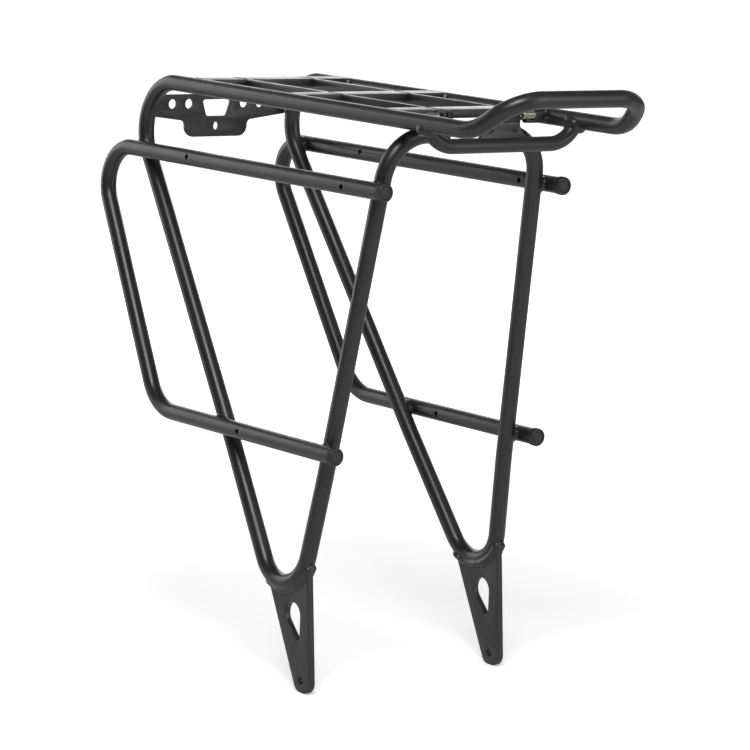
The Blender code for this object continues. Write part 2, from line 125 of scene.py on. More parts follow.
FOOT_REAR_TOP = (-2.5, 86.0)
FOOT_TOE = (5.8, -8.6)
FOOT_HEEL = (-12.0, -8.6)
SLOT_TOP = ((13.0, 45.5), 9.0)
SLOT_LOW = ((6.7, 30.7), 2.8)
VENT_HOLE = 3.0
VENT_Z = 85.0
HOOP_TOP_Z = 354.9
HOOP_TOP_Y = 79.0
HOOP_SPLAY = 0.062
HOOP_TOP_END_X = -57.0
HOOP_FRONT_TOP = (307.4, 352.2)
HOOP_FRONT_LOW = (192.5, 164.3)
HOOP_LOW_END = (-29.5, 168.1)
HOOP_TOP_BEND = 28.0
HOOP_LOW_BEND = 36.9
HOOP_HOLE = 4.0
HOOP_TOP_HOLES_X = (174.0, -18.4)
HOOP_LOW_HOLE_X = 79.0
CAP_FLANGE = 13.2
CAP_LENGTH = 5.2
CROSS_X = -86.6
CROSS_Z = 388.4
CROSS_RISE = math.radians(65)
CROSS_BEND = 25.0
TAIL_THICK = 3.0
TAIL_HOLE = 3.2
TAIL_HOLE_Y = 10.6
TAIL_HOLE_RISE = 5.0
STAY_X = 263.1
STAY_THICK = 3.0
STAY_HALF = 64.5
STAY_TOP = 391.5
STAY_BOTTOM = 358.6
STAY_HOLE = 7.5
STAY_HOLES_Y = (25.3, 40.3)
STAY_HOLES_Z = 384.1

# ---- finish of the meshes --------------------------------------------------------------
SIDES = 40             # sides of a round tube
ARC_STEP = math.radians(3)
BEAD = 3.0             # radius of a weld bead before it is smoothed
VOXEL = 0.5            # grid of the weld fillets
SINK = 0.05            # how far a fillet's skirt dips under the tube it leaves
BURIED = 0.12          # depth from which a fillet's faces are taken away
BEAD_SPACING = 0.7
BEAD_MATCH = 0.5       # how near two surfaces are where a bead lies
BAR_BEAD = 1.3
BAR_ROUNDS = 10
FOOT_BEAD = 2.6
EDGE_ROUND = 0.6       # rounding of plate edges
NEAR_GLOW = 0.36       # lifts the paper to white for the eye, not for the rack
FAR_GLOW = 1.0
SURROUND = 0.17        # brightness of the soft white surroundings
FLOOR_HALF = 30.0
AIM = (60, 0, 300)
SOFTBOXES = (          # name, place and size in metres, power in watts
    ("key_softbox", (-0.9, 0.9, 1.7), 0.8, 0.8, 25.0),
    ("back_softbox", (1.9, -1.5, 0.85), 3.0, 0.8, 19.0),
    ("right_softbox", (-1.9, -0.9, 0.9), 1.1, 1.6, 14.5),
    ("left_softbox", (2.0, 0.8, 0.7), 1.2, 1.6, 13.5))
CAMERA_AZIMUTH = math.radians(232.81)
CAMERA_ELEVATION = math.radians(9.634)
CAMERA_ROLL = math.radians(2.608)
CAMERA_SPOT = (-1794.54, 1395.38, 598.79)
CAMERA_LENS = 154.88
CAMERA_SHIFT = 0.5 / 750


# ---- materials -------------------------------------------------------------------------

def node(tree, kind, **values):
    """Add a shader node and set its plain inputs by name."""
    item = tree.nodes.new(kind)
    for key, value in values.items():
        item.inputs[key.replace("_", " ")].default_value = value
    return item


def ramp(tree, source, low, high, start, end):
    """Map a 0 to 1 value to another range."""
    item = node(tree, "ShaderNodeMapRange")
    item.inputs["From Min"].default_value = low
    item.inputs["From Max"].default_value = high
    item.inputs["To Min"].default_value = start
    item.inputs["To Max"].default_value = end
    tree.links.new(source, item.inputs["Value"])
    return item.outputs["Result"]


def coat_material(name, dark, light, rough, peel, speck):
    """Powder coat: a fine orange peel, soft cloudy tone, and dull flecks."""
    material = bpy.data.materials.new(name)
    material.use_nodes = True
    tree = material.node_tree
    shader = tree.nodes["Principled BSDF"]
    shader.inputs["IOR"].default_value = 1.5
    shader.inputs["Metallic"].default_value = 0.0
    place = node(tree, "ShaderNodeTexCoord")
    grain = node(tree, "ShaderNodeTexNoise", Scale=1500.0, Detail=3.0, Roughness=0.55)
    cloud = node(tree, "ShaderNodeTexNoise", Scale=34.0, Detail=4.0, Roughness=0.6)
    fleck = node(tree, "ShaderNodeTexVoronoi", Scale=900.0)
    for item in (grain, cloud, fleck):
        tree.links.new(place.outputs["Object"], item.inputs["Vector"])
    mix = node(tree, "ShaderNodeMix")
    mix.data_type = "RGBA"
    mix.inputs["A"].default_value = dark
    mix.inputs["B"].default_value = light
    tree.links.new(ramp(tree, cloud.outputs["Fac"], 0.35, 0.65, 0.0, 1.0),
                   mix.inputs["Factor"])
    tree.links.new(mix.outputs["Result"], shader.inputs["Base Color"])
    total = node(tree, "ShaderNodeMath")
    total.operation = "ADD"
    tree.links.new(ramp(tree, cloud.outputs["Fac"], 0.3, 0.7, rough - 0.05, rough + 0.05),
                   total.inputs[0])
    tree.links.new(ramp(tree, fleck.outputs["Distance"], 0.0, 0.5, speck, 0.0),
                   total.inputs[1])
    tree.links.new(total.outputs["Value"], shader.inputs["Roughness"])
    bump = node(tree, "ShaderNodeBump", Strength=peel, Distance=0.00012)
    tree.links.new(grain.outputs["Fac"], bump.inputs["Height"])
    tree.links.new(bump.outputs["Normal"], shader.inputs["Normal"])
    return material


def plastic_material():
    """Moulded black plastic with a fine spark-eroded grain."""
    return coat_material("cap_plastic", (0.012, 0.012, 0.013, 1), (0.018, 0.018, 0.019, 1),
                         0.5, 0.35, 0.06)


def steel_material():
    """Zinc-plated steel with fine turning marks."""
    material = bpy.data.materials.new("barrel_steel")
    material.use_nodes = True
    tree = material.node_tree
    shader = tree.nodes["Principled BSDF"]
    shader.inputs["Metallic"].default_value = 1.0
    place = node(tree, "ShaderNodeTexCoord")
    mark = node(tree, "ShaderNodeTexNoise", Scale=700.0, Detail=3.0)
    tree.links.new(place.outputs["Object"], mark.inputs["Vector"])
    mix = node(tree, "ShaderNodeMix")
    mix.data_type = "RGBA"
    mix.inputs["A"].default_value = (0.33, 0.33, 0.28, 1)
    mix.inputs["B"].default_value = (0.46, 0.45, 0.39, 1)
    tree.links.new(mark.outputs["Fac"], mix.inputs["Factor"])
    tree.links.new(mix.outputs["Result"], shader.inputs["Base Color"])
    tree.links.new(ramp(tree, mark.outputs["Fac"], 0.3, 0.7, 0.38, 0.5),
                   shader.inputs["Roughness"])
    bump = node(tree, "ShaderNodeBump", Strength=0.2, Distance=0.0001)
    tree.links.new(mark.outputs["Fac"], bump.inputs["Height"])
    tree.links.new(bump.outputs["Normal"], shader.inputs["Normal"])
    return material


def floor_material():
    """Plain pale paper."""
    material = bpy.data.materials.new("studio_paper")
    material.use_nodes = True
    tree = material.node_tree
    shader = tree.nodes["Principled BSDF"]
    shader.inputs["Roughness"].default_value = 0.9
    shader.inputs["Specular IOR Level"].default_value = 0.1
    shader.inputs["Emission Color"].default_value = (1, 1, 1, 1)
    seen = node(tree, "ShaderNodeLightPath")
    place = node(tree, "ShaderNodeTexCoord")
    away = node(tree, "ShaderNodeVectorMath")
    away.operation = "LENGTH"
    tree.links.new(place.outputs["Object"], away.inputs[0])
    glow = node(tree, "ShaderNodeMath")
    glow.operation = "MULTIPLY"
    tree.links.new(seen.outputs["Is Camera Ray"], glow.inputs[0])
    tree.links.new(ramp(tree, away.outputs["Value"], 0.3, 1.4, NEAR_GLOW, FAR_GLOW),
                   glow.inputs[1])
    tree.links.new(glow.outputs["Value"], shader.inputs["Emission Strength"])
    fibre = node(tree, "ShaderNodeTexNoise", Scale=60.0, Detail=4.0)
    tree.links.new(place.outputs["Object"], fibre.inputs["Vector"])
    mix = node(tree, "ShaderNodeMix")
    mix.data_type = "RGBA"
    mix.inputs["A"].default_value = (0.88, 0.88, 0.88, 1)
    mix.inputs["B"].default_value = (0.9, 0.9, 0.9, 1)
    tree.links.new(fibre.outputs["Fac"], mix.inputs["Factor"])
    tree.links.new(mix.outputs["Result"], shader.inputs["Base Color"])
    return material


TUBE_COAT = coat_material("tube_coat", (0.0125, 0.0125, 0.0132, 1),
                          (0.0165, 0.0165, 0.0173, 1), 0.33, 0.22, 0.05)
PLATE_COAT = coat_material("plate_coat", (0.0135, 0.0135, 0.0148, 1),
                           (0.0180, 0.0180, 0.0192, 1), 0.34, 0.25, 0.05)
CAP_PLASTIC = plastic_material()
BARREL_STEEL = steel_material()


# ---- mesh tools ------------------------------------------------------------------------

def finish_piece(name, mesh, material, nodes, smooth_angle=40):
    """Put a mesh in the scene as a piece of the rack that stands for CAD nodes."""
    item = bpy.data.objects.new(name, mesh)
    bpy.context.scene.collection.objects.link(item)
    mesh.materials.clear()
    mesh.materials.append(material)
    mesh.polygons.foreach_set("use_smooth", [True] * len(mesh.polygons))
    mesh.set_sharp_from_angle(angle=math.radians(smooth_angle))
    mesh.update()
    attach(item, "root")
    if nodes:
        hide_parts(*nodes)
    return item


def coated_piece(name, mesh, material=PLATE_COAT):
    """Put a coated mesh in the scene in place of the CAD node of that name."""
    return finish_piece("visual_" + name, mesh, material, [name])


def build_mesh(name, points, faces):
    """A mesh from points in millimetres, with consistent outward faces."""
    mesh = bpy.data.meshes.new(name)
    mesh.from_pydata([tuple(Vector(p) * MM) for p in points], [], faces)
    work = bmesh.new()
    work.from_mesh(mesh)
    bmesh.ops.remove_doubles(work, verts=work.verts, dist=1e-7)
    bmesh.ops.recalc_face_normals(work, faces=work.faces)
    work.to_mesh(mesh)
    work.free()
    return mesh


def rounded(corners, radii, closed=False):
    """A polyline with each corner replaced by a fine arc of its radius."""
    corners = [Vector(c) for c in corners]
    count = len(corners)
    path = []
    for index, corner in enumerate(corners):
        inner = closed or 0 < index < count - 1
        if not inner or radii[index] <= 0:
            path.append(corner)
            continue
        before = (corners[index - 1] - corner).normalized()
        after = (corners[(index + 1) % count] - corner).normalized()
        angle = before.angle(after)
        reach = radii[index] / math.tan(angle / 2)
        middle = corner + (before + after).normalized() * radii[index] / math.sin(angle / 2)
        start = corner + before * reach - middle
        end = corner + after * reach - middle
        turn = start.angle(end)
        steps = max(4, math.ceil(turn / ARC_STEP))
        for step in range(steps + 1):
            share = step / steps
            spot = (start * math.sin((1 - share) * turn) + end * math.sin(share * turn))
            path.append(middle + spot / math.sin(turn))
    return path


def ring_frames(path):
    """Directions across a path that don't twist along it."""
    tangents = []
    for index in range(len(path)):
        back = path[index] - path[max(index - 1, 0)]
        ahead = path[min(index + 1, len(path) - 1)] - path[index]
        tangent = back.normalized() + ahead.normalized()
        tangents.append(tangent.normalized())
    side = tangents[0].orthogonal().normalized()
    frames = []
    for index, tangent in enumerate(tangents):
        if index:
            turn = tangents[index - 1].rotation_difference(tangent)
            side = turn @ side
        side = (side - tangent * side.dot(tangent)).normalized()
        frames.append((side.copy(), tangent.cross(side)))
    return frames


def sweep(name, path, frames, radius, start="open", end="open"):
    """A round tube along a path. An end is open, closed, or bored like a real tube's end."""
    points = []
    faces = []
    rings = []

    def add_ring(centre, frame, size):
        """Add one ring of points."""
        rings.append(len(points))
        for step in range(SIDES):
            turn = 2 * math.pi * step / SIDES
            ray = frame[0] * math.cos(turn) + frame[1] * math.sin(turn)
            points.append(centre + ray * size)

    def end_rings(kind, spot, frame, inward):
        """The rings that shape one end, from the innermost out."""
        stations = []
        if kind == "bored":
            stations = [(14.0, radius - WALL), (0.3, radius - WALL), (0.0, radius - WALL + 0.3),
                        (0.0, radius - 0.4), (0.4, radius)]
        elif kind == "closed":
            stations = [(0.0, radius - 0.5), (0.5, radius)]
        for depth, size in stations:
            yield spot + inward * depth, frame, size

    first = (path[1] - path[0]).normalized()
    last = (path[-2] - path[-1]).normalized()
    lead = list(end_rings(start, path[0], frames[0], first))
    tail = list(end_rings(end, path[-1], frames[-1], last))
    body = list(zip(path, frames))
    if start != "open":
        body = body[1:]
    if end != "open":
        body = body[:-1]
    for centre, frame, size in lead:
        add_ring(centre, frame, size)
    for centre, frame in body:
        add_ring(centre, frame, radius)
    for centre, frame, size in reversed(tail):
        add_ring(centre, frame, size)
    for low, high in zip(rings, rings[1:]):
        for step in range(SIDES):
            after = (step + 1) % SIDES
            faces.append((low + step, low + after, high + after, high + step))
    if start != "open":
        faces.append(tuple(rings[0] + step for step in reversed(range(SIDES))))
    if end != "open":
        faces.append(tuple(rings[-1] + step for step in range(SIDES)))
    return build_mesh(name, points, faces)


def tube(name, path, radius, start="closed", end="closed"):
    """A tube with its own frames."""
    return sweep(name, path, ring_frames(path), radius, start, end)


def circle(middle, diameter, count):
    """Points round a circle."""
    return [(middle[0] + diameter / 2 * math.cos(2 * math.pi * k / count),
             middle[1] + diameter / 2 * math.sin(2 * math.pi * k / count))
            for k in range(count)]


def wrapped_circles(big, big_radius, small, small_radius, count):
    """Outline of a band stretched round two circles: a teardrop slot."""
    axis = Vector(small) - Vector(big)
    lean = math.acos((big_radius - small_radius) / axis.length)
    heading = math.atan2(axis.y, axis.x)
    outline = []
    for centre, radius, first, last in ((big, big_radius, lean, 2 * math.pi - lean),
                                        (small, small_radius, -lean, lean)):
        for step in range(count + 1):
            turn = heading + first + (last - first) * step / count
            outline.append((centre[0] + radius * math.cos(turn),
                            centre[1] + radius * math.sin(turn)))
    return outline


def plate(name, outlines, thickness, place, edge_round=EDGE_ROUND):
    """A flat plate with holes and softly rounded edges, from closed outlines."""
    curve = bpy.data.curves.new(name, "CURVE")
    curve.dimensions = "2D"
    curve.fill_mode = "BOTH"
    curve.extrude = (thickness / 2 - edge_round) * MM
    curve.bevel_depth = edge_round * MM
    curve.bevel_resolution = 3
    curve.offset = -edge_round * MM
    for outline in outlines:
        spline = curve.splines.new("POLY")
        spline.points.add(len(outline) - 1)
        for point, spot in zip(spline.points, outline):
            point.co = (spot[0] * MM, spot[1] * MM, 0, 1)
        spline.use_cyclic_u = True
    carrier = bpy.data.objects.new(name, curve)
    bpy.context.scene.collection.objects.link(carrier)
    graph = bpy.context.evaluated_depsgraph_get()
    mesh = bpy.data.meshes.new_from_object(carrier.evaluated_get(graph))
    bpy.data.objects.remove(carrier, do_unlink=True)
    bpy.data.curves.remove(curve)
    mesh.transform(place)
    work = bmesh.new()
    work.from_mesh(mesh)
    bmesh.ops.remove_doubles(work, verts=work.verts, dist=2e-6)
    bmesh.ops.recalc_face_normals(work, faces=work.faces)
    work.to_mesh(mesh)
    work.free()
    return mesh


def facing(across, up, origin):
    """Place for a plate drawn in two axes at an origin in millimetres."""
    across = Vector(across)
    up = Vector(up)
    turn = Matrix((across, up, across.cross(up))).transposed().to_4x4()
    return Matrix.Translation(Vector(origin) * MM) @ turn


def side_place(y):
    """Place for a plate drawn in X and Z, standing at one Y."""
    return facing((1, 0, 0), (0, 0, 1), (0, y, 0))


def cross_place(x):
    """Place for a plate drawn in Y and Z, standing at one X."""
    return facing((0, 1, 0), (0, 0, 1), (x, 0, 0))


def bevelled(mesh, width, segments=3):
    """Round the sharp edges of a blocky mesh."""
    work = bmesh.new()
    work.from_mesh(mesh)
    sharp = [edge for edge in work.edges
             if len(edge.link_faces) == 2 and edge.calc_face_angle() > math.radians(30)]
    bmesh.ops.bevel(work, geom=sharp, offset=width * MM, segments=segments, profile=0.5,
                    affect="EDGES", clamp_overlap=True)
    work.to_mesh(mesh)
    work.free()
    return mesh


def prism(name, outline, thickness, place):
    """A straight-sided block from one outline."""
    count = len(outline)
    points = [(x, y, side * thickness / 2) for side in (-1, 1) for x, y in outline]
    faces = [tuple(range(count)), tuple(range(count, 2 * count))]
    for step in range(count):
        after = (step + 1) % count
        faces.append((step, after, count + after, count + step))
    mesh = build_mesh(name, points, faces)
    mesh.transform(place)
    return mesh


def box(name, low, high):
    """A block between two corners."""
    outline = [(low[0], low[1]), (high[0], low[1]), (high[0], high[1]), (low[0], high[1])]
    middle = (low[2] + high[2]) / 2
    return prism(name, outline, high[2] - low[2], Matrix.Translation((0, 0, middle * MM)))


def turned(name, profile, place, count=48):
    """A solid of revolution about local X from (along, radius) points."""
    points = [(along, radius * math.cos(2 * math.pi * k / count),
               radius * math.sin(2 * math.pi * k / count))
              for along, radius in profile for k in range(count)]
    faces = []
    for row in range(len(profile) - 1):
        for k in range(count):
            after = (k + 1) % count
            faces.append((row * count + k, row * count + after,
                          (row + 1) * count + after, (row + 1) * count + k))
    faces.append(tuple(range(count)))
    faces.append(tuple((len(profile) - 1) * count + k for k in range(count)))
    mesh = build_mesh(name, points, faces)
    mesh.transform(place)
    return mesh


def cut_mesh(mesh, cutters):
    """Subtract closed meshes from a mesh."""
    base = bpy.data.objects.new("cut_base", mesh)
    bpy.context.scene.collection.objects.link(base)
    tools = []
    for index, cutter in enumerate(cutters):
        tool = bpy.data.objects.new("cut_tool_%d" % index, cutter)
        bpy.context.scene.collection.objects.link(tool)
        tools.append(tool)
        step = base.modifiers.new("cut_%d" % index, "BOOLEAN")
        step.operation = "DIFFERENCE"
        step.solver = "EXACT"
        step.object = tool
    graph = bpy.context.evaluated_depsgraph_get()
    result = bpy.data.meshes.new_from_object(base.evaluated_get(graph))
    for item in [base] + tools:
        bpy.data.objects.remove(item, do_unlink=True)
    return result


def rod(start, end, diameter):
    """A plain closed rod used as a drill."""
    return tube("drill", [Vector(start), Vector(end)], diameter / 2)


# ---- weld fillets ----------------------------------------------------------------------

def tube_distance(path, radius):
    """Distance from points to the surface of a tube along a path."""
    spots = np.array([tuple(p) for p in path])

    def measure(points):
        """Signed distance of each point, negative inside."""
        best = np.full(len(points), 1e9)
        for start, end in zip(spots, spots[1:]):
            run = end - start
            share = np.clip(((points - start) @ run) / max(run @ run, 1e-9), 0, 1)
            near = start + share[:, None] * run
            best = np.minimum(best, np.linalg.norm(points - near, axis=1))
        return best - radius
    return measure


def box_distance(low, high):
    """Distance from points to the surface of a block."""
    centre = (np.array(low) + np.array(high)) / 2
    half = (np.array(high) - np.array(low)) / 2

    def measure(points):
        """Signed distance of each point, negative inside."""
        gap = np.abs(points - centre) - half
        outside = np.linalg.norm(np.maximum(gap, 0), axis=1)
        return outside + np.minimum(gap.max(axis=1), 0)
    return measure


def clip_path(path, centre, reach):
    """The part of a path near a point, cut at even spacing."""
    centre = Vector(centre)
    dense = []
    for start, end in zip(path, path[1:]):
        steps = max(1, math.ceil((end - start).length / 1.5))
        dense += [start.lerp(end, k / steps) for k in range(steps)]
    dense.append(path[-1])
    nearest = min(range(len(dense)), key=lambda k: (dense[k] - centre).length)
    first = last = nearest
    while first > 0 and (dense[first - 1] - centre).length < reach:
        first -= 1
    while last < len(dense) - 1 and (dense[last + 1] - centre).length < reach:
        last += 1
    return dense[first:last + 1]


def bead_points(path, radius, measure, centre, reach):
    """Spots on a tube's surface where another solid's surface crosses it."""
    part = clip_path(path, centre, reach)
    frames = ring_frames(part)
    spots = []
    for spot, frame_pair in zip(part, frames):
        for k in range(72):
            turn = 2 * math.pi * k / 72
            offset = frame_pair[0] * math.cos(turn) + frame_pair[1] * math.sin(turn)
            spots.append(tuple(spot + offset * radius))
    spots = np.array(spots)
    return spots[np.abs(measure(spots)) < BEAD_MATCH]


def outline_distance(outline, low, high):
    """Distance to a plate with an outline in X and Z between two Y values."""
    corners = np.array(outline)

    def measure(points):
        """Signed distance of each point, negative inside."""
        flat = points[:, (0, 2)]
        best = np.full(len(points), 1e9)
        inside = np.zeros(len(points), bool)
        for start, end in zip(corners, np.roll(corners, -1, axis=0)):
            edge = end - start
            share = np.clip((flat - start) @ edge / (edge @ edge), 0, 1)
            gap = np.linalg.norm(flat - start - share[:, None] * edge, axis=1)
            best = np.minimum(best, gap)
            crosses = (start[1] > flat[:, 1]) != (end[1] > flat[:, 1])
            slope = edge[0] / (edge[1] if edge[1] else 1e-9)
            inside ^= crosses & (flat[:, 0] < start[0] + (flat[:, 1] - start[1]) * slope)
        across = np.where(inside, -best, best)
        along = np.maximum(low - points[:, 1], points[:, 1] - high)
        outer = np.hypot(np.maximum(across, 0), np.maximum(along, 0))
        return np.where((across < 0) & (along < 0), np.maximum(across, along), outer)
    return measure


def weld(name, tubes, blocks, centre, reach, bead=BEAD, rounds=24, slab=None):
    """A smooth fillet where tubes, blocks and a plate meet. Its skirts dip under them."""
    centre = Vector(centre)
    measures = [tube_distance(clip_path(path, centre, reach + 12), radius)
                for path, radius in tubes]
    measures += [box_distance(low, high) for low, high in blocks]
    meshes = []
    if slab:
        outline, y, thick = slab
        measures.append(outline_distance(outline, y - thick / 2, y + thick / 2))
        meshes.append(prism(name, outline, thick - 2 * SINK, side_place(y)))
    for path, radius in tubes:
        part = clip_path(path, centre, reach)
        meshes.append(tube(name, part, radius - SINK))
    for low, high in blocks:
        low_in = [max(a + SINK, c - reach) for a, c in zip(low, centre)]
        high_in = [min(a - SINK, c + reach) for a, c in zip(high, centre)]
        meshes.append(box(name, low_in, high_in))
    path, radius = tubes[0]
    beads = []
    for other in measures[1:]:
        beads.append(bead_points(path, radius, other, centre, reach - 4))
    spots = np.concatenate(beads)
    kept = []
    for spot in spots:
        if all(np.sum((spot - other) ** 2) > BEAD_SPACING ** 2 for other in kept):
            kept.append(spot)
    work = bmesh.new()
    for mesh in meshes:
        work.from_mesh(mesh)
        bpy.data.meshes.remove(mesh)
    for spot in kept:
        place = Matrix.Translation(Vector(spot) * MM)
        bmesh.ops.create_icosphere(work, subdivisions=2, radius=bead * MM, matrix=place)
    mesh = bpy.data.meshes.new(name)
    work.to_mesh(mesh)
    work.free()
    item = bpy.data.objects.new(name, mesh)
    bpy.context.scene.collection.objects.link(item)
    grid = item.modifiers.new("grid", "REMESH")
    grid.mode = "VOXEL"
    grid.voxel_size = VOXEL * MM
    ease = item.modifiers.new("ease", "SMOOTH")
    ease.factor = 0.5
    ease.iterations = rounds
    graph = bpy.context.evaluated_depsgraph_get()
    result = bpy.data.meshes.new_from_object(item.evaluated_get(graph))
    bpy.data.objects.remove(item, do_unlink=True)
    count = len(result.vertices)
    points = np.empty(count * 3)
    result.vertices.foreach_get("co", points)
    points = points.reshape(-1, 3) / MM
    nearest = np.min([measure(points) for measure in measures], axis=0)
    hidden = nearest < -BURIED
    work = bmesh.new()
    work.from_mesh(result)
    work.verts.ensure_lookup_table()
    doomed = [face for face in work.faces if all(hidden[v.index] for v in face.verts)]
    bmesh.ops.delete(work, geom=doomed, context="FACES")
    work.to_mesh(result)
    work.free()
    return finish_piece(name, result, TUBE_COAT, (), 180)


# ---- courses of the tubes --------------------------------------------------------------

def leg_y(z):
    """Distance of a leg from the middle plane at one height."""
    slope = SPLAY_UP if z >= KNEE_Z else SPLAY_DOWN
    return KNEE_Y - slope * (z - KNEE_Z)


def front_leg_point(z, side):
    """Centre of a front leg at one height."""
    return Vector((FRONT_FOOT_X + FRONT_RAKE * z, side * leg_y(z), z))


def rear_leg_point(z, side):
    """Centre of a rear leg at one height."""
    return Vector((REAR_FOOT_X + REAR_RAKE * z, side * leg_y(z), z))


def foot_apex():
    """Height where the two leg lines would meet."""
    return (REAR_FOOT_X - FRONT_FOOT_X) / (FRONT_RAKE - REAR_RAKE)


def hoop_point(x, z, side):
    """Centre of a pannier hoop in its tilted plane."""
    return Vector((x, side * (HOOP_TOP_Y + HOOP_SPLAY * (HOOP_TOP_Z - z)), z))


def main_corners(side):
    """Corners and bends of one half of the main tube, from a rear leg's end to the handle."""
    top_x = REAR_FOOT_X + REAR_RAKE * REAR_TOP_Z
    corners = [
        (Vector((top_x, side * REAR_TOP_END_Y, REAR_TOP_Z)), 0, "end"),
        (rear_leg_point(REAR_TOP_Z, side), REAR_TOP_BEND, ""),
        (rear_leg_point(KNEE_Z, side), KNEE_BEND, ""),
        (front_leg_point(foot_apex(), side), FOOT_BEND, ""),
        (front_leg_point(FOOT_JOINT_Z, side), 0, "foot"),
        (front_leg_point(KNEE_Z, side), KNEE_BEND, ""),
        (front_leg_point(LEG_JOINT_Z, side), 0, "leg"),
        (Vector((FRONT_FOOT_X + FRONT_RAKE * RAIL_Z, side * RAIL_Y, RAIL_Z)), FRONT_BEND, ""),
        (Vector((HANDLE_START_X, side * RAIL_Y, RAIL_Z)), HANDLE_RISE_BEND, ""),
        (Vector((HANDLE_X, side * HANDLE_Y, HANDLE_Z)), HANDLE_BEND, "")]
    return corners


def main_tube():
    """Five pieces cut from one continuous course, so their rings match at the joints."""
    left = main_corners(1)
    right = main_corners(-1)[::-1]
    corners = left + right
    path = rounded([c[0] for c in corners], [c[1] for c in corners])
    frames = ring_frames(path)
    joints = []
    for spot, _, label in corners:
        if label in ("foot", "leg"):
            joints.append(min(range(len(path)), key=lambda k: (path[k] - spot).length))
    bounds = [0] + joints + [len(path) - 1]
    names = ["left_rear_leg", "left_front_leg", "deck_loop", "right_front_leg",
             "right_rear_leg"]
    for index, name in enumerate(names):
        first, last = bounds[index], bounds[index + 1]
        start = "bored" if index == 0 else "open"
        end = "bored" if index == 4 else "open"
        mesh = sweep("visual_" + name, path[first:last + 1], frames[first:last + 1],
                     TUBE / 2, start, end)
        if "rear_leg" in name:
            side = 1 if name.startswith("left") else -1
            spot = rear_leg_point(VENT_Z, side)
            drill = rod(spot + Vector((-12, 0, 0)), spot + Vector((-2, 0, 0)), VENT_HOLE)
            mesh = cut_mesh(mesh, [drill])
        coated_piece(name, mesh, TUBE_COAT)
    return path


def hoop_path(side):
    """Course of a pannier hoop."""
    corners = [hoop_point(HOOP_TOP_END_X, HOOP_TOP_Z, side),
               hoop_point(HOOP_FRONT_TOP[0], HOOP_FRONT_TOP[1], side),
               hoop_point(HOOP_FRONT_LOW[0], HOOP_FRONT_LOW[1], side),
               hoop_point(HOOP_LOW_END[0], HOOP_LOW_END[1], side)]
    return rounded(corners, [0, HOOP_TOP_BEND, HOOP_LOW_BEND, 0])


def hoop(side, word):
    """An open pannier hoop with its small cross-drilled holes."""
    path = hoop_path(side)
    mesh = tube("hoop", path, TUBE / 2)
    spots = [(x, HOOP_TOP_Z - 0.6) for x in HOOP_TOP_HOLES_X]
    spots.append((HOOP_LOW_HOLE_X, HOOP_LOW_END[1] - 1.4))
    drills = []
    for x, z in spots:
        spot = hoop_point(x, z, side)
        for way in (-1, 1):
            drills.append(rod(spot + Vector((0, way * 2.5, 0)), spot + Vector((0, way * 9, 0)),
                              HOOP_HOLE))
    mesh = cut_mesh(mesh, drills)
    coated_piece(word + "_pannier_hoop", mesh, TUBE_COAT)


def end_cap(name, spot):
    """A plastic plug with a flange, a rounded rim and a ring groove round a plain face."""
    rim = CAP_FLANGE / 2
    profile = [(0.5, 4.2), (0.3, rim - 0.5), (0.0, rim - 0.15), (-0.5, rim),
               (-1.2, rim), (-1.35, rim - 0.22), (-1.6, rim - 0.22), (-1.75, rim),
               (-CAP_LENGTH + 1.3, rim), (-CAP_LENGTH + 0.6, rim - 0.18),
               (-CAP_LENGTH + 0.15, rim - 0.6), (-CAP_LENGTH, rim - 1.1),
               (-CAP_LENGTH, rim - 1.75), (-CAP_LENGTH + 0.15, rim - 1.9),
               (-CAP_LENGTH + 0.55, rim - 2.0), (-CAP_LENGTH + 0.55, rim - 2.4),
               (-CAP_LENGTH + 0.15, rim - 2.55), (-CAP_LENGTH + 0.05, rim - 2.8),
               (-CAP_LENGTH + 0.2, 1.6), (-CAP_LENGTH + 0.25, 0.4)]
    mesh = turned("cap", profile, Matrix.Translation(spot * MM))
    finish_piece("visual_" + name, mesh, CAP_PLASTIC, [name], 50)


def cross_tube_path():
    """Course of the rear cross tube between the rails."""
    half = RAIL_Y - (RAIL_Z - CROSS_Z) / math.tan(CROSS_RISE)
    end_y = RAIL_Y - 0.8
    end_z = RAIL_Z - 1.7
    corners = [(CROSS_X, end_y, end_z), (CROSS_X, half, CROSS_Z),
               (CROSS_X, -half, CROSS_Z), (CROSS_X, -end_y, end_z)]
    return rounded(corners, [0, CROSS_BEND, CROSS_BEND, 0])


def foot_bend_middle():
    """Centre of the bend over a foot, in X and Z."""
    z = foot_apex()
    apex = Vector((FRONT_FOOT_X + FRONT_RAKE * z, z))
    front = Vector((FRONT_RAKE, 1.0)).normalized()
    rear = Vector((REAR_RAKE, 1.0)).normalized()
    return apex + (front + rear).normalized() * FOOT_BEND / math.sin(front.angle(rear) / 2)


def foot_crown(front, rear):
    """Points of a foot plate's upper edge, inside the tube's bend, from front to rear."""
    middle = foot_bend_middle()
    crown = []
    for share in range(1, 12):
        lean = Vector(front).lerp(Vector(rear), share / 12) - middle
        crown.append(tuple(middle + lean.normalized() * (FOOT_BEND + 1.0)))
    return crown


def foot_plate(side, word):
    """The dropout plate with a bolt hole and a teardrop slot."""
    bottom = rounded([(x, z, 0) for x, z in (FOOT_REAR_TOP, FOOT_HEEL, FOOT_TOE,
                                             FOOT_FRONT_TOP)], [0, 8.4, 8.0, 0])
    edge = [(p.x, p.y) for p in bottom] + foot_crown(FOOT_FRONT_TOP, FOOT_REAR_TOP)
    slot = wrapped_circles(*SLOT_TOP, *SLOT_LOW, 24)
    hole = circle((0.0, 0.0), FOOT_HOLE, 32)
    mesh = plate("foot", [edge, slot, hole], FOOT_THICK, side_place(side * FOOT_Y))
    coated_piece(word + "_foot_plate", mesh)


